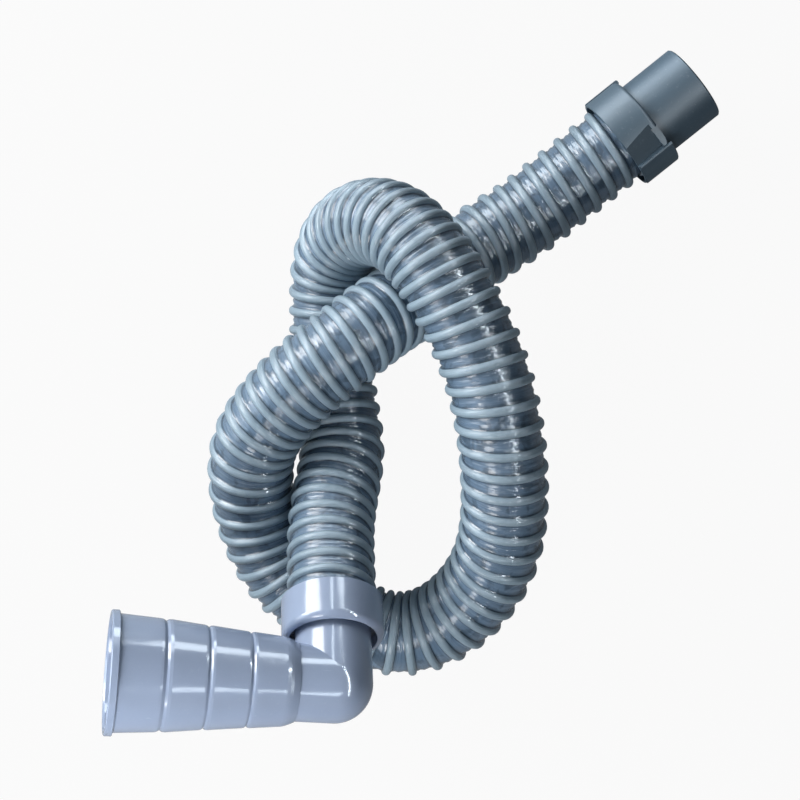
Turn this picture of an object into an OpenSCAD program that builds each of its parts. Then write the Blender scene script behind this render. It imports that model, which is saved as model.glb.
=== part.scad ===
// Sewer hose kit for a caravan: a ribbed drain hose thrown down in a loose knot,
// with a swivel elbow and stepped boot on one end and a bayonet adapter on the other.
// Millimetres, +Z up. The floor is z = 0 and the origin lies under the middle of the fittings.

/* [Hose] */
// Outside diameter over the spiral rib
rib_d = 92; // [86:0.5:92]
// Outside diameter of the thin wall between the turns of the rib
wall_d = 84; // [80:0.5:85]
// Inside diameter of the hose
bore_d = 79; // [74:0.5:79]
// Distance from turn to turn of the rib
rib_pitch = 21.5; // [20.5:0.1:26]

/* [Bayonet adapter] */
// Outside diameter of the spigot that enters the drain pipe
spigot_d = 88.9; // [84:0.1:92]
// How far the spigot stands out of the locking ring
spigot_out = 66.8; // [40:0.2:90]
// Wall of the spigot
spigot_wall = 3; // [2:0.1:4]
// Thickness of the locking ring's shell outside the adapter's collar
ring_wall = 7.2; // [6.4:0.1:9]
// Length of the locking ring
ring_len = 41.5; // [38:0.5:50]
// How far the two thumb lugs stand out of the ring
lug_rise = 1.3; // [1:0.1:4]

/* [Swivel cuff] */
// Thickness of the cuff outside the hose
cuff_wall = 6.1; // [5:0.1:9]
// Length of the cuff
cuff_len = 45; // [42:0.5:60]
// Radius of the rolled lip at the mouth of the cuff
lip_r = 7.2; // [3:0.1:7.4]

/* [Elbow] */
// Outside diameter of the elbow tube
elbow_d = 78.5; // [76:0.1:80]
// Wall of the elbow tube
elbow_wall = 3; // [2.2:0.1:4]
// From the end of the hose to the corner of the elbow
elbow_leg = 90; // [86:1:110]
// How far the elbow is turned in the cuff
elbow_turn = 13; // [-40:1:40]

/* [Stepped boot] */
// From the corner of the elbow to the mouth of the boot
boot_reach = 226.6; // [200:0.2:250]
// How far the elbow reaches into the boot
boot_socket = 22.4; // [20:0.2:26]
// How much larger the boot's radius is at its mouth than the elbow's
boot_swell = 19.4; // [17:0.2:22]
// Height of the flange round the mouth
boot_flange_h = 3.4; // [2:0.1:8]
// Thickness of that flange
boot_flange_t = 8.3; // [5:0.1:12]
// Wall of the boot
boot_wall = 3; // [2:0.1:4]

/* [Which piece] */
// One piece to draw, or all of them

/* [Hidden] */
$fn = 96;

// Clearances
fit = 0.08;         // running fit of round parts that turn in each other
slack = 0.4;        // between faces that pass each other
tail_play = 0.25;   // between a threaded tail and the hose around it
socket_play = 0.6;  // between the cuff's socket and the rib of the hose
chamber_room = 6.05; // round the elbow in the cuff, for its piston and retainer

// Where the hose ends: its end points, and how each end turns and tilts
elbow_end = [-95, -240, 172];
elbow_end_turn = 93;
elbow_end_tilt = -35;
adapter_end = [217, 256, 54];
adapter_end_turn = 38.5;
adapter_end_tilt = 3;
straight_step = 48;   // step between the route points of the straight ends

// Route of the hose between its straight ends
route_middle = [
    [-93, -122, 90],
    [-85, -80, 60], [-95, -35, 49], [-100, 20, 46], [-100, 75, 46], [-100, 120, 56],
    [-80, 160, 102], [-35, 160, 168], [0, 125, 190], [25, 85, 192], [50, 40, 188],
    [70, -15, 182], [80, -65, 170], [85, -115, 150], [85, -165, 122], [75, -210, 92],
    [45, -255, 66], [0, -285, 47], [-50, -285, 46], [-100, -255, 46], [-150, -225, 47],
    [-175, -175, 54], [-187, -125, 76], [-185, -75, 106], [-155, -35, 128], [-120, 0, 142],
    [-80, 30, 146], [-45, 60, 128], [-5, 85, 88], [35, 120, 66], [75, 150, 52]];

function heading(turn, tilt) = [cos(tilt) * cos(turn), cos(tilt) * sin(turn), sin(tilt)];
function unit(v) = v / norm(v);

into_hose = heading(elbow_end_turn, elbow_end_tilt);
out_of_hose = heading(adapter_end_turn, adapter_end_tilt);
route = concat(
    [for (i = [0:2]) elbow_end + i * straight_step * into_hose],
    route_middle,
    [for (i = [3:-1:0]) adapter_end - i * straight_step * out_of_hose]);

// Cubic B-spline along the route; it starts and ends on the first and last points
last = len(route) - 1;
knots = concat([2 * route[0] - route[1]], route, [2 * route[last] - route[last - 1]]);
function span_at(u) = min(floor(u), last - 1);
function curve(u) = let (i = span_at(u), t = u - i)
    (pow(1 - t, 3) * knots[i] + (3 * t * t * t - 6 * t * t + 4) * knots[i + 1]
    + (3 * t * t + 3 * t + 1 - 3 * t * t * t) * knots[i + 2] + t * t * t * knots[i + 3]) / 6;
function slope(u) = let (i = span_at(u), t = u - i)
    (-pow(1 - t, 2) * knots[i] + (3 * t * t - 4 * t) * knots[i + 1]
    + (2 * t + 1 - 3 * t * t) * knots[i + 2] + t * t * knots[i + 3]) / 2;

// Table of [length along the hose, place on the curve]
fine = 16;
marks = [for (k = [0:last * fine]) curve(k / fine)];
strides = [for (k = [1:last * fine]) norm(marks[k] - marks[k - 1])];
travel = [for (k = 0, s = 0; k <= len(strides);
               s = s + (k < len(strides) ? strides[k] : 0), k = k + 1) [s, k / fine]];
hose_len = travel[len(travel) - 1][0];

// A point on the hose: s along it, angle a round it from its upper side, r from its middle
function on_hose(s, a, r) =
    let (u = lookup(s, travel), along = unit(slope(u)),
         side = unit(cross([0, 0, 1], along)), up = cross(along, side))
    curve(u) + r * (cos(a) * up + sin(a) * side);

// Free space between two stretches of the hose, measured on its middle line
function least_gap(step, apart) =
    let (p = [for (s = [0:step:hose_len]) curve(lookup(s, travel))], skip = ceil(apart / step))
    min([for (i = [0:len(p) - 1]) for (k = [i + skip:1:len(p) - 1]) norm(p[i] - p[k])]) - rib_d;

// Derived sizes
sides = 8;                                        // sides of the hose tube
flat = cos(180 / sides);                          // its flats lie this much nearer than its corners
tail_r = bore_d / 2 * flat - tail_play;
tail_len = 40;
tail_wall = 3;
tail_in = tail_r - tail_wall;
spigot_r = spigot_d / 2;
seat_r = spigot_r + 0.5;                          // the locking ring turns on this
gasket_w = 0.85;                                  // width of the gasket round the seat
collar_lip = 0.6;                                 // collar outside the gasket
collar_r = max(rib_d / 2 + slack, seat_r + gasket_w + collar_lip);
ring_r = collar_r + ring_wall;
ring_back = 8.5;                                  // ring reaches back over the hose this far
ring_front = ring_len - ring_back;
collar_t = 5;                                     // thickness of the adapter's collar
gasket_t = 1.6;
hub_z = collar_t + gasket_t;                      // where the hub of the ring starts
bead_z = 18;                                      // snap bead on the spigot
bead_h = 1;
bead_w = 3;
socket_r = rib_d / 2 + socket_play;
cuff_back = 5;                                    // cuff reaches back over the hose this far
cuff_mouth = cuff_len - cuff_back;
web_t = 4;                                        // wall the hose butts on inside the cuff
chamber_r = elbow_d / 2 + chamber_room;
cuff_r = max(socket_r + cuff_wall, chamber_r + lip_r + 0.2);
piston_r = chamber_r - slack;
piston_top = 20;
retainer_t = 6.5;
retainer_lip = 0.8;
elbow_r = elbow_d / 2;
elbow_in = elbow_r - elbow_wall;
neck_t = elbow_r + 0.35;                          // boot starts here, clear of the leg
socket_end = neck_t + boot_socket;                // and the elbow ends inside it here

function arc(cr, cz, r, from, to, n) =
    [for (i = [0:n]) let (a = from + (to - from) * i / n) [cr + r * cos(a), cz + r * sin(a)]];

// Frames of the two fittings: Z runs out of the hose
module at_elbow_end() {
    translate(elbow_end)
        rotate([0, 90 + elbow_end_tilt, elbow_end_turn + 180])
            children();
}

module at_adapter_end() {
    translate(adapter_end)
        rotate([0, 90 - adapter_end_tilt, adapter_end_turn])
            children();
}

// Frame of the arm of the elbow: Z runs from the corner to the mouth of the boot
module along_arm() {
    at_elbow_end()
        translate([0, 0, elbow_leg])
            rotate([0, 0, -elbow_turn])
                rotate([90, 0, 0])
                    children();
}

// Hose: one tube with its bore and a spiral rib, swept along the route.
// Rows of corners climb as a screw: two rows to a turn, crest and trough.
module hose() {
    end_gap = 3;
    rows = 2 * floor((hose_len - 2 * end_gap) / rib_pitch - 7 / 8);
    pitch = (hose_len - 2 * end_gap) / (rows / 2 + 7 / 8);
    rings = rows / 2 + 1;
    turn = 360 / sides;
    skin = [for (m = [0:rows]) for (j = [0:sides - 1])
        on_hose(end_gap + pitch * (m / 2 + j / sides), j * turn, (m % 2 == 0 ? rib_d : wall_d) / 2)];
    first = [for (j = [0:sides - 1]) on_hose(0, j * turn, wall_d / 2)];
    final = [for (j = [0:sides - 1]) on_hose(hose_len, j * turn, wall_d / 2)];
    bore = [for (k = [0:rings]) for (j = [0:sides - 1])
        on_hose(hose_len * k / rings, j * turn, bore_d / 2)];
    // places of the corners in the list
    f0 = len(skin);
    l0 = f0 + sides;
    b0 = l0 + sides;
    bl = b0 + rings * sides;
    e = sides - 1;
    function sk(m, j) = m * sides + j;
    function quad(a, b, c, d) = [[a, c, b], [a, d, c]];
    faces = concat(
        // screw-shaped skin, then the seam where a turn meets the next
        [for (m = [0:rows - 1]) for (j = [0:e - 1])
            each quad(sk(m, j), sk(m + 1, j), sk(m + 1, j + 1), sk(m, j + 1))],
        [for (m = [0:rows - 3])
            each quad(sk(m, e), sk(m + 1, e), sk(m + 3, 0), sk(m + 2, 0))],
        // from the flat first end to the first turn
        [for (j = [0:e - 1]) each quad(f0 + j, sk(0, j), sk(0, j + 1), f0 + j + 1)],
        [[f0 + e, f0, sk(0, 0)], [f0 + e, sk(0, 0), sk(1, 0)],
         [f0 + e, sk(1, 0), sk(0, e)], [sk(0, e), sk(1, 0), sk(2, 0)]],
        // from the last turn to the flat last end
        [for (j = [0:e - 1]) each quad(sk(rows, j), l0 + j, l0 + j + 1, sk(rows, j + 1))],
        [[sk(rows - 2, e), sk(rows, 0), sk(rows - 1, e)],
         [sk(rows - 1, e), sk(rows, 0), sk(rows, e)],
         [sk(rows, e), l0, l0 + e], [sk(rows, e), sk(rows, 0), l0]],
        // bore
        [for (k = [0:rings - 1]) for (j = [0:e]) let (n = (j + 1) % sides)
            each quad(b0 + k * sides + j, b0 + k * sides + n,
                      b0 + (k + 1) * sides + n, b0 + (k + 1) * sides + j)],
        // the two flat ends
        [for (j = [0:e]) let (n = (j + 1) % sides) each quad(f0 + j, f0 + n, b0 + n, b0 + j)],
        [for (j = [0:e]) let (n = (j + 1) % sides) each quad(l0 + j, bl + j, bl + n, l0 + n)]);
    echo(hose_length = hose_len, turns_of_rib = rows / 2, least_gap_to_itself = least_gap(8, 190));
    color([0.42, 0.50, 0.57])
        polyhedron(points = concat(skin, first, final, bore), faces = faces, convexity = 12);
}

// Cuff: a threaded tail inside the hose, a short socket over its end and a deep
// chamber with a rolled lip, where the elbow turns
module cuff() {
    groove_z = piston_top + slack + retainer_t / 2;
    color([0.52, 0.56, 0.66])
        at_elbow_end()
            rotate_extrude()
                polygon(concat(
                    [[tail_in, -tail_len], [tail_r - 1, -tail_len], [tail_r, -tail_len + 4],
                     [tail_r, 0], [socket_r, 0], [socket_r, -cuff_back + 0.8],
                     [socket_r + 0.8, -cuff_back], [cuff_r - 1.2, -cuff_back],
                     [cuff_r, -cuff_back + 1.2]],
                    arc(cuff_r - lip_r, cuff_mouth - lip_r, lip_r, 0, 90, 8),
                    [[chamber_r, cuff_mouth - 0.4],
                     [chamber_r, groove_z + 1.6], [chamber_r + retainer_lip, groove_z + 1.6],
                     [chamber_r + retainer_lip, groove_z - 1.6], [chamber_r, groove_z - 1.6],
                     [chamber_r, web_t], [tail_in, web_t]]));
}

// Retainer: snaps into the chamber and keeps the elbow in it
module retainer() {
    low = piston_top + slack;
    mid = low + retainer_t / 2;
    color([0.30, 0.33, 0.40])
        at_elbow_end()
            rotate_extrude()
                polygon([[elbow_r + fit, low], [chamber_r, low], [chamber_r, mid - 1.6],
                         [chamber_r + retainer_lip, mid - 1.6], [chamber_r + retainer_lip, mid + 1.6],
                         [chamber_r, mid + 1.6], [chamber_r, low + retainer_t - 0.6],
                         [chamber_r - 0.6, low + retainer_t], [elbow_r + fit + 1, low + retainer_t],
                         [elbow_r + fit, low + retainer_t - 1]]);
}

oring_d = 3.2;           // section of the two rubber rings
oring_z = 12;            // swivel ring, from the end of the hose
boot_oring_t = neck_t + 0.42 * boot_socket;   // boot ring, from the corner of the elbow

// Elbow: a sharp right-angle bend whose corner is a ball of the same diameter
module elbow() {
    piston_low = web_t + slack;
    groove_r = chamber_r - fit - oring_d;
    boot_groove_r = elbow_r + 0.1 - oring_d + 0.9;
    color([0.52, 0.56, 0.66])
        difference() {
            union() {
                at_elbow_end() {
                    rotate_extrude()
                        polygon([[0, piston_low], [piston_r - 1, piston_low],
                                 [piston_r, piston_low + 1],
                                 [piston_r, oring_z - oring_d / 2], [groove_r, oring_z - oring_d / 2],
                                 [groove_r, oring_z + oring_d / 2], [piston_r, oring_z + oring_d / 2],
                                 [piston_r, piston_top], [elbow_r, piston_top],
                                 [elbow_r, elbow_leg], [0, elbow_leg]]);
                    translate([0, 0, elbow_leg])
                        sphere(r = elbow_r);
                }
                along_arm()
                    rotate_extrude()
                        polygon([[0, 0], [elbow_r, 0],
                                 [elbow_r, boot_oring_t - oring_d / 2],
                                 [boot_groove_r, boot_oring_t - oring_d / 2],
                                 [boot_groove_r, boot_oring_t + oring_d / 2],
                                 [elbow_r, boot_oring_t + oring_d / 2],
                                 [elbow_r, socket_end - 1], [elbow_r - 1, socket_end],
                                 [0, socket_end]]);
            }
            at_elbow_end() {
                translate([0, 0, piston_low - 1])
                    cylinder(r = elbow_in, h = elbow_leg - piston_low + 1);
                translate([0, 0, elbow_leg])
                    sphere(r = elbow_in);
            }
            along_arm()
                cylinder(r = elbow_in, h = socket_end + 1);
        }
}

// Rubber ring round the piston of the elbow
module swivel_oring() {
    color([0.12, 0.12, 0.13])
        at_elbow_end()
            translate([0, 0, oring_z])
                rotate_extrude()
                    translate([chamber_r - fit - oring_d / 2, 0])
                        circle(d = oring_d, $fn = 24);
}

// Boot: a push-on sleeve whose four tapered steps each grip another pipe size
module boot() {
    mouth = boot_reach;
    steps_end = mouth - boot_flange_t;
    // a place and a radius, as shares of the way from the neck to the flange
    function along(share) = neck_t + share * (steps_end - neck_t);
    function swollen(share) = elbow_r + share * boot_swell;
    // the flare that covers the end of the elbow
    neck = [for (x = [0:0.2:1])
        [elbow_r + 0.9 + (0.305 * boot_swell - 0.9) * sin(90 * x), along(0.093 * x)]];
    // a step ends in a groove, and the next one starts beyond it a little wider
    function groove(end, r, w) = [[r, end], [r - 0.2, end + 0.27 * w], [r - 1.6, end + 0.5 * w],
                                  [r + 0.1, end + 0.78 * w], [r + 0.5, end + w]];
    steps = concat(
        groove(along(0.24), swollen(0.43), 8.8),
        groove(along(0.477), swollen(0.635), 9.2),
        groove(along(0.709), swollen(0.84), 11.5),
        [[swollen(1), steps_end]]);
    inner = [for (i = [len(steps) - 1:-1:0]) [steps[i][0] - boot_wall, steps[i][1]]];
    mouth_r = swollen(1) - boot_wall;
    flange_r = swollen(1) + boot_flange_h;
    color([0.52, 0.56, 0.66])
        along_arm()
            rotate_extrude()
                polygon(concat(
                    [[elbow_r + 0.1, neck_t]],
                    neck,
                    steps,
                    [[flange_r - 0.8, steps_end], [flange_r, steps_end + 0.8],
                     [flange_r, mouth - 1.2], [flange_r - 1.2, mouth],
                     [mouth_r + 2, mouth], [mouth_r + 0.6, mouth - 2]],
                    inner,
                    [[elbow_r + 3.2, socket_end + 4], [elbow_in, socket_end + 4],
                     [elbow_in, socket_end], [elbow_r + 0.1, socket_end]]));
}

// Rubber ring between the elbow and the boot
module boot_oring() {
    color([0.12, 0.12, 0.13])
        along_arm()
            rotate_extrude()
                polygon([[elbow_r + 1 - oring_d, boot_oring_t - 1.2],
                         [elbow_r + 0.1, boot_oring_t - 1.2], [elbow_r + 0.1, boot_oring_t + 1.2],
                         [elbow_r + 1 - oring_d, boot_oring_t + 1.2]]);
}

// Adapter: threaded tail, collar that the hose butts on, and the plain spigot
module adapter() {
    spigot_in = spigot_r - spigot_wall;
    tip = ring_front + spigot_out;
    color([0.30, 0.38, 0.44])
        at_adapter_end()
            rotate_extrude()
                polygon([[tail_in, -tail_len], [tail_r - 1, -tail_len], [tail_r, -tail_len + 4],
                         [tail_r, 0], [collar_r, 0], [collar_r, collar_t], [seat_r, collar_t],
                         [seat_r, bead_z - bead_w / 2], [seat_r + bead_h, bead_z - bead_w / 2 + 1],
                         [seat_r + bead_h, bead_z + bead_w / 2 - 1], [seat_r, bead_z + bead_w / 2],
                         [seat_r, ring_front], [spigot_r, ring_front],
                         [spigot_r, tip - 1.5], [spigot_r - 1.5, tip], [spigot_in + 0.5, tip],
                         [spigot_in, tip - 0.5], [spigot_in, collar_t + 12], [tail_in, collar_t]]);
}

// Flat rubber gasket between the collar and the ring
module adapter_gasket() {
    color([0.12, 0.12, 0.13])
        at_adapter_end()
            translate([0, 0, collar_t])
                difference() {
                    cylinder(r = seat_r + gasket_w, h = gasket_t);
                    translate([0, 0, -1])
                        cylinder(r = seat_r, h = gasket_t + 2);
                }
}

// Locking ring: turns on the adapter; two thumb lugs stand beside two sloping scoops
module locking_ring() {
    hub_r = seat_r + fit;
    skirt_r = ring_r - 3;
    rim = 4.5;                 // rounding of the front edge
    flange_w = 7;              // band left in front of each scoop
    scoop_depth = 3.6;         // of the scoop's flat floor at the back of the ring
    scoop_slope = 4.5;         // the floor sinks towards the front by this angle
    scoop_turn = 35;           // its middle, from the lug's side of the ring
    band_depth = 4.6;          // of the band, which rises from the scoop's corner to the lug
    band_turn = 18;
    edge_r = 2;                // rolled edge along the lug
    edge_turn = 44.5;
    lug_to = 92;
    lug_out = 2.8;             // lug in front of the ring
    lug_r = ring_r + lug_rise;
    lug_back = 1.2 - ring_back;
    top = 180;
    front = ring_front;
    color([0.38, 0.46, 0.52])
        at_adapter_end()
            difference() {
                union() {
                    // skirt, hub and rounded front edge, with a groove for the snap bead
                    rotate_extrude()
                        polygon(concat(
                            [[skirt_r, -ring_back], [ring_r - 0.6, -ring_back],
                             [ring_r, -ring_back + 0.6]],
                            arc(ring_r - rim, front - rim, rim, 0, 90, 6),
                            [[hub_r + 0.6, front], [hub_r, front - 0.6],
                             [hub_r, bead_z + bead_w / 2 + slack],
                             [hub_r + bead_h + 0.3, bead_z + bead_w / 2 + slack],
                             [hub_r + bead_h + 0.3, bead_z - bead_w / 2 - slack],
                             [hub_r, bead_z - bead_w / 2 - slack],
                             [hub_r, hub_z + slack], [skirt_r, hub_z + slack]]));
                    for (side = [0, 180])
                        rotate([0, 0, top + side]) {
                            // thick skirt behind the scoop
                            rotate([0, 0, 4])
                                rotate_extrude(angle = 44)
                                    translate([collar_r + slack, 0.4 - ring_back])
                                        square([ring_r - 1 - collar_r - slack, ring_len - 6.4]);
                            // thumb lug and its rolled edge
                            rotate([0, 0, edge_turn])
                                rotate_extrude(angle = lug_to - edge_turn)
                                    polygon([[ring_r - 2, lug_back], [lug_r, lug_back],
                                             [lug_r, front + lug_out - 1.4],
                                             [lug_r - 1.4, front + lug_out],
                                             [ring_r - 3.4, front + lug_out],
                                             [ring_r - 3.4, front - 0.4], [ring_r - 7, front - 0.4],
                                             [ring_r - 7, front - 8], [ring_r - 2, front - 12]]);
                            rotate([0, 0, edge_turn])
                                translate([lug_r - edge_r + 0.25, 0, lug_back + 0.3])
                                    cylinder(r = edge_r, h = ring_len + lug_out - 2);
                        }
                }
                for (side = [0, 180])
                    rotate([0, 0, top + side]) {
                        rotate([0, 0, scoop_turn])
                            translate([ring_r - scoop_depth, -30, -ring_back - 1])
                                rotate([0, -scoop_slope, 0])
                                    cube([20, 36.6, ring_len + 1 - flange_w]);
                        rotate([0, 0, band_turn])
                            translate([ring_r - band_depth, -3.4, front - flange_w - 1])
                                cube([20, 24.2, flange_w + lug_out + 4]);
                    }
            }
}

hose();
cuff();
retainer();
elbow();
swivel_oring();
boot();
boot_oring();
adapter();
adapter_gasket();
locking_ring();
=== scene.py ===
"""Looks of a caravan's sewer hose kit: the ribbed hose, its fittings, floor, lights and camera."""

import bisect
import math

import bmesh
import bpy
from bpy.props import FloatProperty, FloatVectorProperty, PointerProperty
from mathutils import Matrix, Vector


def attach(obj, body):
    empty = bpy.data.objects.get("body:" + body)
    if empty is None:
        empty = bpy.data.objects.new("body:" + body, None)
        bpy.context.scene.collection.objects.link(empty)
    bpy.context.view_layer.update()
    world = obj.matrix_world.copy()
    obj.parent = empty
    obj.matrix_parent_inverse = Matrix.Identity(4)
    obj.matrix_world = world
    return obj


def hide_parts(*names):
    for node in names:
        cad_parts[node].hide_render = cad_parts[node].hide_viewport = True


bl_info = {
    "name": "Sewer hose kit",
    "version": (1, 0, 0),
    "blender": (4, 5, 0),
    "location": "View3D > Sidebar > Hose kit",
    "description": "Dresses the hose kit's CAD frame with its hose, finishes and studio",
    "category": "Object",
}

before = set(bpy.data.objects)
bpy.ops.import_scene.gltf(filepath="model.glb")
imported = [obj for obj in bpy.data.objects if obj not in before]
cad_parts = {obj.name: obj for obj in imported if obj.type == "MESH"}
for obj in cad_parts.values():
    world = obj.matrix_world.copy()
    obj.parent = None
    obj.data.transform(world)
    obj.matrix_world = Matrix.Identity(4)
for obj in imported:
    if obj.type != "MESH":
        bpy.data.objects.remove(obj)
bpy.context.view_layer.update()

# Route of the hose in metres: where it ends, how each end heads, and the points between
ELBOW_END = Vector((-0.095, -0.240, 0.172))
ADAPTER_END = Vector((0.217, 0.256, 0.054))
STRAIGHT_STEP = 0.048
ROUTE_MIDDLE = [
    (-0.093, -0.122, 0.090),
    (-0.085, -0.080, 0.060), (-0.095, -0.035, 0.049), (-0.100, 0.020, 0.046),
    (-0.100, 0.075, 0.046), (-0.100, 0.120, 0.056), (-0.080, 0.160, 0.102),
    (-0.035, 0.160, 0.168), (0.000, 0.125, 0.190), (0.025, 0.085, 0.192),
    (0.050, 0.040, 0.188), (0.070, -0.015, 0.182), (0.080, -0.065, 0.170),
    (0.085, -0.115, 0.150), (0.085, -0.165, 0.122), (0.075, -0.210, 0.092),
    (0.045, -0.255, 0.066), (0.000, -0.285, 0.047), (-0.050, -0.285, 0.046),
    (-0.100, -0.255, 0.046), (-0.150, -0.225, 0.047), (-0.175, -0.175, 0.054),
    (-0.187, -0.125, 0.076), (-0.185, -0.075, 0.106), (-0.155, -0.035, 0.128),
    (-0.120, 0.000, 0.142), (-0.080, 0.030, 0.146), (-0.045, 0.060, 0.128),
    (-0.005, 0.085, 0.088), (0.035, 0.120, 0.066), (0.075, 0.150, 0.052),
]  # fmt: skip


def heading(turn, tilt):
    """Unit vector that points turn degrees round from +X and tilt degrees up."""
    turn, tilt = math.radians(turn), math.radians(tilt)
    flat = math.cos(tilt)
    return Vector((flat * math.cos(turn), flat * math.sin(turn), math.sin(tilt)))


INTO_HOSE = heading(93, -35)
OUT_OF_HOSE = heading(38.5, 3)
MARKS_PER_SPAN = 64  # marks on a span of the curve, between which its length is measured
TABLE_STEP = 0.001  # length along the hose from row to row of the tables below


class Route:
    """The hose's middle line, a cubic B-spline, with a table of frames by length along it."""

    def __init__(self):
        first = [ELBOW_END + i * STRAIGHT_STEP * INTO_HOSE for i in range(3)]
        final = [ADAPTER_END - i * STRAIGHT_STEP * OUT_OF_HOSE for i in (3, 2, 1, 0)]
        points = first + [Vector(p) for p in ROUTE_MIDDLE] + final
        before = 2 * points[0] - points[1]
        after = 2 * points[-1] - points[-2]
        self.knots = [before, *points, after]
        self.spans = len(points) - 1
        places, travelled = [], [0.0]
        for k in range(self.spans * MARKS_PER_SPAN + 1):
            places.append(self.curve(k / MARKS_PER_SPAN))
            if k:
                travelled.append(travelled[-1] + (places[-1] - places[-2]).length)
        self.length = travelled[-1]
        self.frames = []
        k = 0
        for i in range(int(self.length / TABLE_STEP) + 2):
            s = min(i * TABLE_STEP, self.length)
            while k < len(travelled) - 2 and travelled[k + 1] < s:
                k += 1
            part = (s - travelled[k]) / (travelled[k + 1] - travelled[k])
            u = (k + part) / MARKS_PER_SPAN
            along = self.slope(u)
            speed = along.length
            along = along / speed
            side = Vector((0, 0, 1)).cross(along).normalized()
            bend = self.second(u)
            bend = (bend - along * bend.dot(along)) / (speed * speed)
            self.frames.append((self.curve(u), side, along.cross(side), bend))

    def span(self, u):
        """The four knots that shape the curve at u, and the part of the span travelled there."""
        i = min(int(u), self.spans - 1)
        return self.knots[i : i + 4], u - i

    def curve(self, u):
        (a, b, c, d), t = self.span(u)
        return (
            a * (1 - t) ** 3
            + b * (3 * t**3 - 6 * t * t + 4)
            + c * (3 * t * t + 3 * t + 1 - 3 * t**3)
            + d * t**3
        ) / 6

    def slope(self, u):
        """First derivative of the curve."""
        (a, b, c, d), t = self.span(u)
        return (
            -a * (1 - t) ** 2 + b * (3 * t * t - 4 * t) + c * (2 * t + 1 - 3 * t * t) + d * t * t
        ) / 2

    def second(self, u):
        """Second derivative of the curve."""
        (a, b, c, d), t = self.span(u)
        return a * (1 - t) + b * (3 * t - 2) + c * (1 - 3 * t) + d * t

    def frame(self, s):
        """Place, side, up and bend at length s; past the ends it stays at the end's frame."""
        s = min(max(s, 0.0), self.length)
        i = min(int(s / TABLE_STEP), len(self.frames) - 2)
        part = s / TABLE_STEP - i
        low, high = self.frames[i], self.frames[i + 1]
        return [a.lerp(b, part) for a, b in zip(low, high)]


# Distance from turn to turn of the rib, by length along the hose: the turns crowd where the
# hose is pushed together and in its tightest loop
RIB_SPACING = [
    (0.000, 0.0196), (0.120, 0.0188), (0.180, 0.0205), (0.240, 0.0212), (0.400, 0.0203),
    (0.480, 0.0185), (0.520, 0.0140), (0.575, 0.0134), (0.610, 0.0160), (0.650, 0.0200),
    (0.690, 0.0220), (0.900, 0.0222), (0.940, 0.0248), (0.975, 0.0216), (1.010, 0.0198),
    (1.100, 0.0196), (1.180, 0.0172), (1.236, 0.0156), (1.262, 0.0195), (1.300, 0.0220),
    (1.355, 0.0226), (1.390, 0.0208), (1.430, 0.0162), (1.460, 0.0166), (1.600, 0.0162),
    (1.680, 0.0195), (1.740, 0.0216), (2.100, 0.0216),
]  # fmt: skip
FIRST_TURN = 0.0015  # length along the hose of the turn that the count starts from
SPARE_TURNS = 2  # turns made beyond each end, which are then cut off


class Winding:
    """Counts the rib's turns along the hose; a turn may be asked for a little past each end."""

    def __init__(self):
        self.low = -(SPARE_TURNS + 1) * RIB_SPACING[0][1]
        self.counts = [0.0]
        s = self.low
        while s < RIB_SPACING[-1][0]:
            self.counts.append(self.counts[-1] + TABLE_STEP / self.pitch(s + TABLE_STEP / 2))
            s += TABLE_STEP
        self.zero = self.turns(FIRST_TURN)

    def pitch(self, s):
        """Distance from turn to turn at length s."""
        s = max(s, 0.0)
        for (a, low), (b, high) in zip(RIB_SPACING, RIB_SPACING[1:]):
            if s <= b:
                return low + (high - low) * (s - a) / (b - a)
        return RIB_SPACING[-1][1]

    def turns(self, s):
        """Turns from the start of the table to length s."""
        i = min(max(int((s - self.low) / TABLE_STEP), 0), len(self.counts) - 2)
        part = (s - self.low) / TABLE_STEP - i
        return self.counts[i] + part * (self.counts[i + 1] - self.counts[i])

    def place(self, turns):
        """Length along the hose of a number of turns counted from the first one."""
        count = turns + self.zero
        i = min(max(bisect.bisect_right(self.counts, count) - 1, 0), len(self.counts) - 2)
        part = (count - self.counts[i]) / (self.counts[i + 1] - self.counts[i])
        return self.low + (i + part) * TABLE_STEP


def srgb(red, green, blue):
    """Linear colour from one written as 0 to 255 on a screen."""
    parts = [c / 255 for c in (red, green, blue)]
    return tuple(c / 12.92 if c <= 0.04045 else ((c + 0.055) / 1.055) ** 2.4 for c in parts)


# ---------------------------------------------------------------- settings


class HoseSettings(bpy.types.PropertyGroup):
    rib_diameter: FloatProperty(
        name="Rib diameter",
        description="Outside diameter over the spiral rib",
        default=0.093,
        unit="LENGTH",
        subtype="DISTANCE",
    )
    wall_diameter: FloatProperty(
        name="Wall diameter",
        description="Outside diameter of the thin wall between the turns",
        default=0.0836,
        unit="LENGTH",
        subtype="DISTANCE",
    )
    bore: FloatProperty(
        name="Bore",
        description="Inside diameter of the hose",
        default=0.079,
        unit="LENGTH",
        subtype="DISTANCE",
    )
    rib_width: FloatProperty(
        name="Rib width",
        description="Width of the half-round rib where it stands on the wall",
        default=0.0098,
        unit="LENGTH",
        subtype="DISTANCE",
    )
    rib_colour: FloatVectorProperty(
        name="Rib colour",
        description="Colour of the hard spiral rib",
        default=srgb(138, 158, 172),
        subtype="COLOR",
    )
    wall_colour: FloatVectorProperty(
        name="Wall colour",
        description="Colour of the soft wall",
        default=srgb(100, 122, 144),
        subtype="COLOR",
    )


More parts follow.
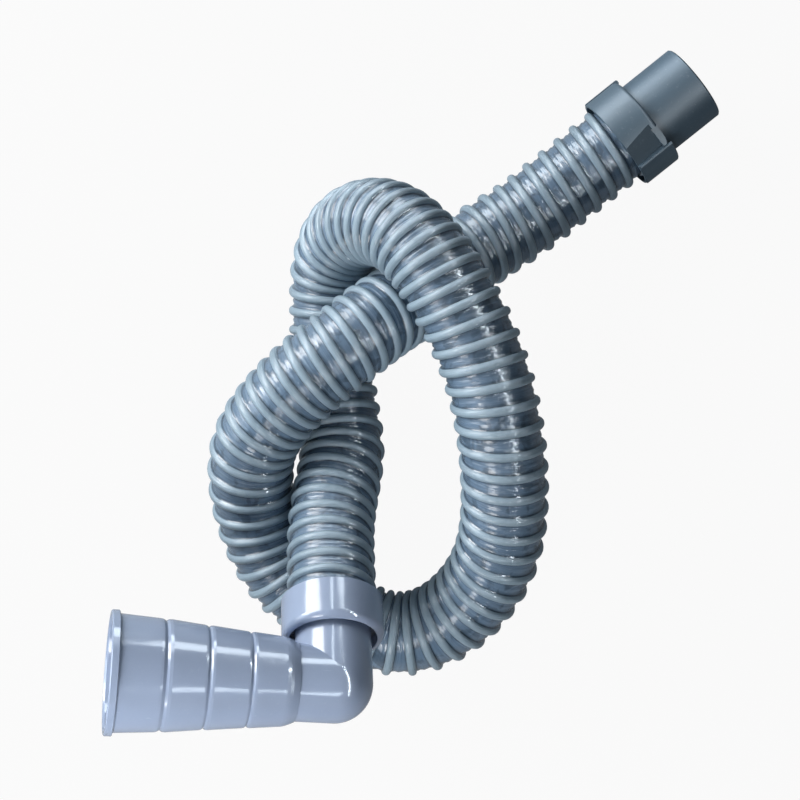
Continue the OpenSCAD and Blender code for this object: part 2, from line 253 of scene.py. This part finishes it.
class FittingSettings(bpy.types.PropertyGroup):
    elbow_colour: FloatVectorProperty(
        name="Elbow colour",
        description="Colour of the cuff, elbow and boot",
        default=srgb(148, 162, 187),
        subtype="COLOR",
    )
    adapter_colour: FloatVectorProperty(
        name="Adapter colour",
        description="Colour of the bayonet adapter and its spigot",
        default=srgb(68, 88, 103),
        subtype="COLOR",
    )
    ring_colour: FloatVectorProperty(
        name="Ring colour",
        description="Colour of the locking ring",
        default=srgb(76, 95, 109),
        subtype="COLOR",
    )
    rubber_colour: FloatVectorProperty(
        name="Rubber colour",
        description="Colour of the seals",
        default=srgb(34, 35, 38),
        subtype="COLOR",
    )
    retainer_colour: FloatVectorProperty(
        name="Retainer colour",
        description="Colour of the snap ring inside the cuff",
        default=srgb(84, 90, 104),
        subtype="COLOR",
    )


class StudioSettings(bpy.types.PropertyGroup):
    floor_colour: FloatVectorProperty(
        name="Floor colour",
        description="Colour of the floor's paper, in the shadows and in the light it throws back",
        default=(0.24, 0.24, 0.24),
        subtype="COLOR",
    )
    shadow_share: FloatProperty(
        name="Shadow share",
        description="How much of the shadows shows on the floor, which is white to the camera",
        default=0.06,
        min=0,
        max=1,
        subtype="FACTOR",
    )
    lens: FloatProperty(
        name="Lens",
        description="Focal length of the camera, in millimetres",
        default=88.65,
        unit="CAMERA",
    )
    camera_height: FloatProperty(
        name="Camera height",
        description="Height of the camera over the floor",
        default=2.204,
        unit="LENGTH",
        subtype="DISTANCE",
    )


class KitSettings(bpy.types.PropertyGroup):
    hose: PointerProperty(type=HoseSettings, name="Hose", description="The ribbed hose")
    fittings: PointerProperty(
        type=FittingSettings, name="Fittings", description="The moulded fittings"
    )
    studio: PointerProperty(
        type=StudioSettings, name="Studio", description="Floor, camera and lights"
    )


# ---------------------------------------------------------------- shader maths


class Value:
    """A socket that can be used in Python expressions; each operation adds a Math node."""

    def __init__(self, graph, socket):
        self.graph, self.socket = graph, socket

    def maths(self, operation, *others):
        inputs = dict(enumerate([self, *others]))
        return self.graph.node("ShaderNodeMath", {"operation": operation}, inputs)

    def __add__(self, other):
        return self.maths("ADD", other)

    def __sub__(self, other):
        return self.maths("SUBTRACT", other)

    def __rsub__(self, other):
        return self.maths("MULTIPLY", -1.0).maths("ADD", other)

    def __mul__(self, other):
        return self.maths("MULTIPLY", other)

    __radd__ = __add__
    __rmul__ = __mul__


class Graph:
    """The shader nodes of a material or of the world, and the ways to add more."""

    def __init__(self, tree):
        self.tree = tree

    def node(self, kind, settings=None, inputs=None, output=0):
        """Adds a node: first its settings, then the values or links of its sockets."""
        node = self.tree.nodes.new(kind)
        for name, value in (settings or {}).items():
            setattr(node, name, value)
        for place, value in (inputs or {}).items():
            self.put(node.inputs[place], value)
        return Value(self, node.outputs[output])

    def put(self, socket, value):
        """Links a Value to a socket, or sets the socket to a number, vector or colour."""
        if isinstance(value, Value):
            self.tree.links.new(value.socket, socket)
        elif socket.type == "RGBA":
            socket.default_value = (*value, 1)
        else:
            socket.default_value = value

    def ray(self, kind):
        """1 for one kind of ray, such as Camera, and 0 for every other."""
        return self.node("ShaderNodeLightPath", output=f"Is {kind} Ray")

    def towards_light(self, place):
        """How far a place or a direction lies towards the side that the light comes from."""
        return self.node(
            "ShaderNodeVectorMath",
            {"operation": "DOT_PRODUCT"},
            {0: place, 1: LIGHT_SIDE},
            output="Value",
        )

    def blend(self, share, first, second):
        """Mixes two shaders."""
        return self.node("ShaderNodeMixShader", inputs={0: share, 1: first, 2: second})

    def surface(self, shader):
        """Makes a shader the one that the tree gives out."""
        output = next(n for n in self.tree.nodes if n.type.startswith("OUTPUT"))
        self.put(output.inputs["Surface"], shader)


class Finish(Graph):
    """One material with a Principled shader, and the patterns that its look is made of."""

    def __init__(self, name, **uniform):
        self.material = bpy.data.materials.new(name)
        self.material.use_nodes = True
        super().__init__(self.material.node_tree)
        self.shader = self.tree.nodes["Principled BSDF"]
        for socket, value in uniform.items():
            self.shader.inputs[socket.replace("_", " ")].default_value = value

    def noise(self, scale, detail=2.0, place=None, distortion=0.0, roughness=0.5):
        return self.node(
            "ShaderNodeTexNoise",
            inputs={
                "Vector": place or self.place(),
                "Scale": scale,
                "Detail": detail,
                "Distortion": distortion,
                "Roughness": roughness,
            },
        )

    def place(self, stretch=None, turn=None):
        """Object coordinates, stretched and turned where both are given."""
        whole = self.node("ShaderNodeTexCoord", output="Object")
        if stretch is None:
            return whole
        inputs = {"Vector": whole, "Rotation": turn, "Scale": stretch}
        return self.node("ShaderNodeMapping", inputs=inputs)

    def attribute(self, name, output="Fac"):
        return self.node("ShaderNodeAttribute", {"attribute_name": name}, output=output)

    def rib_noise(self, stretch, reach, detail, roughness=0.5):
        """Noise that is long in the direction of the rib and short across it."""
        across = self.attribute("lie", "Vector")
        turned = self.tint(self.attribute("round", "Vector"), reach)
        place = self.node(
            "ShaderNodeVectorMath",
            {"operation": "MULTIPLY_ADD"},
            {0: across, 1: stretch, 2: turned},
        )
        return self.noise(1.0, detail, place, roughness=roughness)

    def band(self, value, low, high):
        """0 below low, 1 above high, and smooth between."""
        return self.node(
            "ShaderNodeMapRange",
            {"interpolation_type": "SMOOTHSTEP"},
            {"Value": value, "From Min": low, "From Max": high},
        )

    def mix(self, share, first, second):
        """Mixes two colours."""
        return self.node(
            "ShaderNodeMix",
            {"data_type": "RGBA"},
            {"Factor": share, 6: first, 7: second},
            output=2,
        )

    def tint(self, colour, level):
        """A colour made lighter or darker by a value round 1, or a place made larger."""
        return self.node(
            "ShaderNodeVectorMath",
            {"operation": "SCALE"},
            {0: colour, "Scale": level},
        )

    def bump(self, height, strength, distance):
        inputs = {"Height": height, "Strength": strength, "Distance": distance}
        return self.node("ShaderNodeBump", inputs=inputs)

    def finish(self, **varying):
        """Gives the Principled shader what changes over the surface."""
        for socket, value in varying.items():
            self.put(self.shader.inputs[socket.replace("_", " ")], value)
        return self.material


STAIN_COLOUR = srgb(38, 50, 62)
SCUFF_COLOUR = srgb(186, 198, 206)
DUST_COLOUR = srgb(196, 203, 212)
CHALK_COLOUR = srgb(84, 86, 90)


def hose_vinyl(settings):
    """Vinyl hose: satin spiral rib on a softer, glossy wall with wrinkles along the rib."""
    f = Finish("hose_vinyl", Specular_IOR_Level=0.5, Coat_Roughness=0.08)
    rib = f.band(f.attribute("rib"), low=0.05, high=0.45)
    foot = f.attribute("foot")
    cloud = f.noise(scale=26, detail=3)
    fine = f.noise(scale=380, detail=3)
    waves = f.noise(scale=70, detail=2)
    wrinkles = f.rib_noise((2.6, 2.6, 22), reach=1.0, detail=4, roughness=0.65)
    folds = f.rib_noise((1.1, 1.1, 14), reach=1.4, detail=2)
    streaks = f.rib_noise((5.0, 5.0, 75), reach=2.2, detail=4, roughness=0.65)
    scratches = f.rib_noise((4.0, 4.0, 60), reach=2.5, detail=5, roughness=0.7)
    scuffs = f.band(scratches, low=0.56, high=0.68)
    stains = f.band(f.noise(scale=52, detail=3, distortion=0.8), low=0.50, high=0.66)
    rib_level = 0.50 + 0.26 * cloud + 0.24 * wrinkles + 0.50 * streaks
    wall_level = 0.42 + 0.50 * cloud + 0.66 * wrinkles
    wall = f.mix(stains * 0.50, f.tint(tuple(settings.wall_colour), wall_level), STAIN_COLOUR)
    colour = f.mix(rib, wall, f.tint(tuple(settings.rib_colour), rib_level))
    # painted shade: the colour is darkened in the crease at the rib's foot, where shade falls
    # between rib and wall
    crease_shaded = f.tint(colour, 1 - 0.70 * foot)
    worn = f.mix(scuffs * (0.16 + 0.22 * rib), crease_shaded, SCUFF_COLOUR)
    rough = 0.05 + 0.16 * rib + 0.14 * scuffs + 0.10 * fine * rib + 0.08 * cloud
    height = (
        (wrinkles * 0.9 + folds * 1.6 + waves * 0.9) * (1 - 0.8 * rib)
        + scuffs * 0.08
        + (fine * 0.15 + wrinkles * 0.5 + streaks * 0.9) * rib
    )
    return f.finish(
        Base_Color=worn,
        Roughness=rough,
        Coat_Weight=0.5 - 0.2 * rib,
        Normal=f.bump(height, strength=0.6, distance=0.0011),
    )


def moulded_plastic(name, colour, gloss, grain, swell, coat=0.0):
    """Injection-moulded plastic: faint clouding, a fine skin and long soft waves in the gloss."""
    f = Finish(name, Specular_IOR_Level=0.5, Coat_Weight=coat, Coat_Roughness=0.09)
    cloud = f.noise(scale=18, detail=3)
    skin = f.noise(scale=900, detail=2)
    wave = f.noise(scale=30, detail=1.5, distortion=0.4)
    drawn_out = f.place(stretch=(1, 9, 1), turn=(0.3, 0.2, 0.6))
    lines = f.noise(scale=60, detail=6, place=drawn_out, roughness=0.7)
    scratches = f.band(lines, low=0.60, high=0.70)
    dust = f.band(f.noise(scale=240, detail=5, roughness=0.7), low=0.56, high=0.75)
    level = 0.92 + 0.14 * cloud + 0.04 * skin
    base = f.mix(dust * 0.10, f.tint(tuple(colour), level), DUST_COLOUR)
    rough = gloss + 0.06 * cloud + 0.10 * scratches + 0.05 * dust
    height = wave * swell + skin * grain - scratches * 0.03
    normal = f.bump(height, strength=0.5, distance=0.001)
    return f.finish(Base_Color=base, Roughness=rough, Normal=normal)


def seal_rubber(colour):
    """Black rubber with a dull, slightly dusty skin."""
    f = Finish("seal_rubber", Specular_IOR_Level=0.4)
    dust = f.noise(scale=120, detail=4)
    skin = f.noise(scale=1500, detail=2)
    return f.finish(
        Base_Color=f.mix(dust * 0.25, tuple(colour), CHALK_COLOUR),
        Roughness=0.55 + 0.2 * dust,
        Normal=f.bump(skin, strength=0.3, distance=0.0003),
    )


# ---------------------------------------------------------------- building helpers


def show(name, bm, material, smooth=True):
    """Makes a piece of one material from a bmesh, and frees the bmesh."""
    mesh = bpy.data.meshes.new(name)
    bm.to_mesh(mesh)
    bm.free()
    for face in mesh.polygons:
        face.use_smooth = smooth
    mesh.materials.append(material)
    piece = bpy.data.objects.new(name, mesh)
    bpy.context.scene.collection.objects.link(piece)
    return piece


def coat(node, material):
    """Gives a CAD node its finish."""
    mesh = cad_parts[node].data
    mesh.materials.clear()
    mesh.materials.append(material)


# Stations across one turn of the rib: place across the rib from -1 to 1 and its height from 0
# to 1; then places over the wall to the next turn from 0 to 1 and how far they stand out
RIB_STATIONS = [
    (-1.0, 0.0), (-0.92, 0.34), (-0.72, 0.70), (-0.40, 0.93), (0.0, 1.0),
    (0.40, 0.93), (0.72, 0.70), (0.92, 0.34), (1.0, 0.0),
]  # fmt: skip
WALL_STATIONS = [(0.06, 0.0), (0.22, -0.8), (0.42, -0.1), (0.56, 0.3), (0.76, -0.7), (0.94, 0.0)]
WALL_FOLD = 0.0010  # how far the wall's folds stand out
AROUND = 52  # columns of faces round the outside
BORE_AROUND = 28
BORE_ROWS = 260  # rows of faces along the bore
LEAST_STRETCH = 0.2  # the wall on the inner side of a bend is never counted as shorter than this
WIDEST_RIB = 0.42  # half the rib's width, at most, as a share of the distance between turns
CORD_MARKS = 160  # steps of the path along the hose's middle line
END_SHIFT = 0.006  # how far the two ends of that path are moved
SAME_POINT = 1e-6  # vertices nearer to each other than this are merged
SAME_END = 1e-5  # vertices nearer than this to the plane of an end lie on it


class KIT_OT_hose(bpy.types.Operator):
    """Sweeps the ribbed hose along its route, from the cuff to the adapter"""

    bl_idname = "hosekit.hose"
    bl_label = "Ribbed hose"

    def execute(self, context):
        own = context.scene.hose_kit.hose
        route = Route()
        bm = bmesh.new()
        self.skin(bm, own, route, Winding())
        for end, clear in ((0.0, "clear_inner"), (route.length, "clear_outer")):
            bmesh.ops.bisect_plane(
                bm,
                geom=bm.verts[:] + bm.edges[:] + bm.faces[:],
                plane_co=(end, 0, 0),
                plane_no=(1, 0, 0),
                **{clear: True},
            )
        self.bore(bm, own, route)
        bmesh.ops.recalc_face_normals(bm, faces=bm.faces[:])
        for vert in bm.verts:
            s, across, over = vert.co
            place, side, up, _ = route.frame(s)
            vert.co = place + across * side + over * up
        hose = show("hose_skin", bm, hose_vinyl(own))
        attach(hose, "hose_body")
        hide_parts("hose")
        # a cord ends close to the wall of a fitting, while the middle line runs down the bore,
        # so the two ends of the path are moved a little towards the wall
        marks = range(CORD_MARKS + 1)
        path = [route.frame(route.length * k / CORD_MARKS)[0] for k in marks]
        for end, s in ((0, 0.0), (-1, route.length)):
            _, _, up, _ = route.frame(s)
            path[end] = path[end] - END_SHIFT * up
        return {"FINISHED"}

    def skin(self, bm, own, route, winding):
        """The outside, as a straight tube along X whose rows climb as a screw.

        Each vertex keeps how far it is up the rib, whether it is at the rib's foot, and two
        vectors: where it lies across the turns and along the hose, and where it lies round it.
        """
        layers = {name: bm.verts.layers.float.new(name) for name in ("rib", "foot")}
        layers["lie"] = bm.verts.layers.float_vector.new("lie")
        layers["round"] = bm.verts.layers.float_vector.new("round")
        wall_r = own.wall_diameter / 2
        height = own.rib_diameter / 2 - wall_r
        turns = int(winding.turns(route.length) - winding.zero) + 2 * SPARE_TURNS
        per_turn = len(RIB_STATIONS) + len(WALL_STATIONS)
        rows = turns * per_turn
        bmesh.ops.create_grid(bm, x_segments=AROUND, y_segments=rows, size=0.5)
        for vert in bm.verts:
            column = round((vert.co.x + 0.5) * AROUND)
            row = round((vert.co.y + 0.5) * rows)
            turn, station = divmod(row, per_turn)
            angle = math.tau * column / AROUND
            count = turn - SPARE_TURNS + angle / math.tau
            centre = winding.place(count)
            half = self.half_width(own, route, winding, centre, angle)
            rib, foot = 0.0, 0.0
            if station < len(RIB_STATIONS):
                across, rib = RIB_STATIONS[station]
                s, r = centre + across * half, wall_r + height * rib
                foot = 1.0 if rib == 0 else 0.0
            else:
                part, out = WALL_STATIONS[station - len(RIB_STATIONS)]
                after = winding.place(count + 1)
                low = centre + half
                high = after - self.half_width(own, route, winding, after, angle)
                s, r = low + (high - low) * part, wall_r + WALL_FOLD * out
                foot = 0.5 if out == 0 else 0.0
            vert.co = (s, r * math.sin(angle), r * math.cos(angle))
            phase = math.tau * (winding.turns(s) - winding.zero - angle / math.tau)
            vert[layers["rib"]], vert[layers["foot"]] = rib, foot
            vert[layers["lie"]] = (math.cos(phase), math.sin(phase), s)
            vert[layers["round"]] = (math.cos(angle), math.sin(angle), 0.0)
        bmesh.ops.remove_doubles(bm, verts=bm.verts[:], dist=SAME_POINT)

    def half_width(self, own, route, winding, s, angle):
        """Half the rib's width, in the hose's own length, where a bend squeezes or stretches it."""
        _, side, up, bend = route.frame(s)
        outward = side * math.sin(angle) + up * math.cos(angle)
        stretch = max(1 - own.wall_diameter / 2 * bend.dot(outward), LEAST_STRETCH)
        return min(own.rib_width / 2 / stretch, WIDEST_RIB * winding.pitch(s))

    def bore(self, bm, own, route):
        """The inside, joined to the outside by a flat ring at each end."""
        r = own.bore / 2
        grid = bmesh.ops.create_grid(bm, x_segments=BORE_AROUND, y_segments=BORE_ROWS, size=0.5)
        for vert in grid["verts"]:
            angle = math.tau * (vert.co.x + 0.5)
            s = (vert.co.y + 0.5) * route.length
            vert.co = (s, r * math.sin(angle), r * math.cos(angle))
        bmesh.ops.remove_doubles(bm, verts=grid["verts"], dist=SAME_POINT)
        open_edges = [e for e in bm.edges if e.is_boundary]
        for end in (0.0, route.length):
            loops = [
                e for e in open_edges if all(abs(v.co.x - end) < SAME_END for v in e.verts)
            ]
            bmesh.ops.bridge_loops(bm, edges=loops)


class KIT_OT_fittings(bpy.types.Operator):
    """Gives the cuff, elbow, boot, adapter, ring and seals their finishes"""

    bl_idname = "hosekit.fittings"
    bl_label = "Moulded fittings"

    def execute(self, context):
        own = context.scene.hose_kit.fittings
        grey = moulded_plastic(
            "fitting_grey", own.elbow_colour, gloss=0.15, grain=0.02, swell=1.1, coat=0.5
        )
        adapter = moulded_plastic(
            "adapter_grey", own.adapter_colour, gloss=0.40, grain=0.06, swell=0.4
        )
        ring = moulded_plastic("ring_grey", own.ring_colour, gloss=0.38, grain=0.08, swell=0.4)
        retainer = moulded_plastic(
            "retainer_grey", own.retainer_colour, gloss=0.25, grain=0.05, swell=0.3
        )
        rubber = seal_rubber(own.rubber_colour)
        for nodes, material in (
            (("cuff", "elbow", "boot"), grey),
            (("adapter",), adapter),
            (("locking_ring",), ring),
            (("retainer",), retainer),
            (("swivel_oring", "boot_oring", "adapter_gasket"), rubber),
        ):
            for node in nodes:
                coat(node, material)
        return {"FINISHED"}


# Softboxes: name, place, point aimed at, width, height, power in watts, and the surfaces
# that they light: all, only those that shine, or only matt ones
SOFTBOXES = [
    ("key", (-1.50, 1.05, 0.90), (0.0, 0.0, 0.1), 1.5, 1.0, 50, "all"),
    ("left_fill", (-0.48, -0.78, 0.75), (-0.08, -0.2, 0.15), 0.4, 0.4, 5.8, "all"),
    ("front_fill", (0.20, -1.00, 0.75), (0.05, -0.2, 0.1), 0.5, 0.4, 2.0, "matt"),
    ("window", (0.33, 1.08, 0.58), (-0.16, -0.28, 0.26), 0.32, 0.42, 4.2, "shiny"),
    ("window_post", (-0.09, 1.08, 0.92), (-0.09, -0.27, 0.23), 0.11, 0.40, 1.5, "shiny"),
    ("tube", (0.66, 0.15, 0.92), (0.0, 0.15, 0.1), 1.9, 0.030, 15, "shiny"),
    ("overhead", (0.37, -0.82, 1.48), (-0.2, -0.3, 0.2), 0.34, 0.14, 1.5, "shiny"),
    ("left_wall", (-1.35, 0.20, 0.75), (0.0, 0.1, 0.1), 1.5, 0.8, 14, "shiny"),
    ("back_wall", (-0.35, 1.55, 0.38), (0.25, 0.3, 0.05), 1.0, 0.75, 24, "shiny"),
]
WHITE = (1.0, 1.0, 1.0)
COOL = (0.82, 0.92, 1.0)  # of the room's walls and of the lamps that light only what shines
LIGHT_SIDE = (-0.62, 0.66, 0.42)  # direction from which most of the light comes

# The room's walls, for every ray but the camera's: their strength away from the light and
# towards it, and how far a direction lies towards the light where each of the two is reached
WALL_STRENGTH = 0.02, 0.32
WALL_GRADE = -0.6, 0.8

# The floor's painted glow in what shines: its least share of white and how much the lit side has
# more, the metres towards the light between which it grows, and its tone
FLOOR_GLOSS = 0.10, 0.60
FLOOR_GRADE = -0.10, 0.45
FLOOR_TONE = (0.70, 0.86, 1.0)
FLOOR_RADIUS = 40
FLOOR_SIDES = 96

CAMERA_OVER = -0.025, -0.028  # the camera looks straight down on this place
SENSOR_WIDTH = 36.0  # millimetres
CLIP_START, CLIP_END = 0.05, 200.0


class KIT_OT_studio(bpy.types.Operator):
    """Sets up the camera, the pale floor, the softboxes and the dim room"""

    bl_idname = "hosekit.studio"
    bl_label = "Studio"

    def execute(self, context):
        own = context.scene.hose_kit.studio
        self.camera(context.scene, own)
        self.floor(own)
        self.softboxes(context.scene)
        self.room(context.scene)
        context.scene.view_settings.view_transform = "Standard"
        return {"FINISHED"}

    def camera(self, scene, own):
        """A camera that looks straight down."""
        data = bpy.data.cameras.new("camera")
        data.lens, data.sensor_width = own.lens, SENSOR_WIDTH
        data.clip_start, data.clip_end = CLIP_START, CLIP_END
        camera = bpy.data.objects.new("camera", data)
        camera.location = (*CAMERA_OVER, own.camera_height)
        scene.collection.objects.link(camera)
        scene.camera = camera

    def floor(self, own):
        """Paper that is white to the camera; in what shines it has a painted glow, brighter on the
        key's side and dimmer away from it.
        """
        bm = bmesh.new()
        bmesh.ops.create_circle(bm, cap_ends=True, segments=FLOOR_SIDES, radius=FLOOR_RADIUS)
        f = Finish("floor_paper", Roughness=0.9, Specular_IOR_Level=0.1)
        grain = f.noise(scale=300, detail=3)
        f.finish(Base_Color=f.tint(tuple(own.floor_colour), 0.98 + 0.04 * grain))
        shine = f.ray("Glossy")
        least, more = FLOOR_GLOSS
        # painted light: in the gloss the floor glows brighter towards the key, as if lit by it, and
        # dimmer away from it
        painted_floor_glow = least + more * f.band(f.towards_light(f.place()), *FLOOR_GRADE)
        seen = f.ray("Camera") * (1 - own.shadow_share)
        seen = seen.maths("MAXIMUM", painted_floor_glow * shine)
        seen = seen.maths("MAXIMUM", f.ray("Transmission"))
        tone = f.mix(shine, WHITE, FLOOR_TONE)
        white = f.node("ShaderNodeEmission", inputs={"Color": tone, "Strength": 1.0})
        paper = Value(f, f.shader.outputs["BSDF"])
        f.surface(f.blend(seen, paper, white))
        show("floor", bm, f.material, smooth=False)

    def softboxes(self, scene):
        """Lamps for all surfaces, for what shines and for what is matt."""
        for name, place, target, width, height, power, surfaces in SOFTBOXES:
            data = bpy.data.lights.new(name, "AREA")
            data.shape, data.size, data.size_y = "RECTANGLE", width, height
            data.energy = power
            data.color = COOL if surfaces == "shiny" else WHITE
            lamp = bpy.data.objects.new("softbox_" + name, data)
            lamp.location = place
            lamp.visible_diffuse = surfaces != "shiny"
            lamp.visible_glossy = surfaces != "matt"
            aim = Vector(target) - Vector(place)
            lamp.rotation_euler = aim.to_track_quat("-Z", "Y").to_euler()
            scene.collection.objects.link(lamp)

    def room(self, scene):
        """A white backdrop for the camera, and dim walls that are lighter towards the light."""
        world = bpy.data.worlds.new("room")
        scene.world = world
        world.use_nodes = True
        g = Graph(world.node_tree)
        g.tree.nodes.remove(g.tree.nodes["Background"])
        facing = g.towards_light(g.node("ShaderNodeTexCoord", output="Generated"))
        names = ("From Min", "From Max", "To Min", "To Max")
        reach = dict(zip(names, WALL_GRADE + WALL_STRENGTH))
        strength = g.node("ShaderNodeMapRange", inputs={"Value": facing, **reach})
        walls = g.node("ShaderNodeBackground", inputs={"Color": COOL, "Strength": strength})
        backdrop = g.node("ShaderNodeBackground", inputs={"Color": WHITE, "Strength": 1.0})
        g.surface(g.blend(g.ray("Camera"), walls, backdrop))


class KIT_PT_panel(bpy.types.Panel):
    """Buttons for each group of pieces"""

    bl_label = "Sewer hose kit"
    bl_idname = "KIT_PT_panel"
    bl_space_type = "VIEW_3D"
    bl_region_type = "UI"
    bl_category = "Hose kit"

    def draw(self, context):
        layout = self.layout
        kit = context.scene.hose_kit
        for operator, settings in (
            (KIT_OT_studio, kit.studio),
            (KIT_OT_hose, kit.hose),
            (KIT_OT_fittings, kit.fittings),
        ):
            box = layout.box()
            for name in settings.__annotations__:
                box.prop(settings, name)
            box.operator(operator.bl_idname)


CLASSES = (
    HoseSettings,
    FittingSettings,
    StudioSettings,
    KitSettings,
    KIT_OT_studio,
    KIT_OT_hose,
    KIT_OT_fittings,
    KIT_PT_panel,
)


def register():
    for cls in CLASSES:
        bpy.utils.register_class(cls)
    bpy.types.Scene.hose_kit = PointerProperty(type=KitSettings)


def unregister():
    del bpy.types.Scene.hose_kit
    for cls in reversed(CLASSES):
        bpy.utils.unregister_class(cls)


def main():
    register()
    bpy.ops.hosekit.studio()
    bpy.ops.hosekit.hose()
    bpy.ops.hosekit.fittings()


if __name__ == "__main__":
    main()
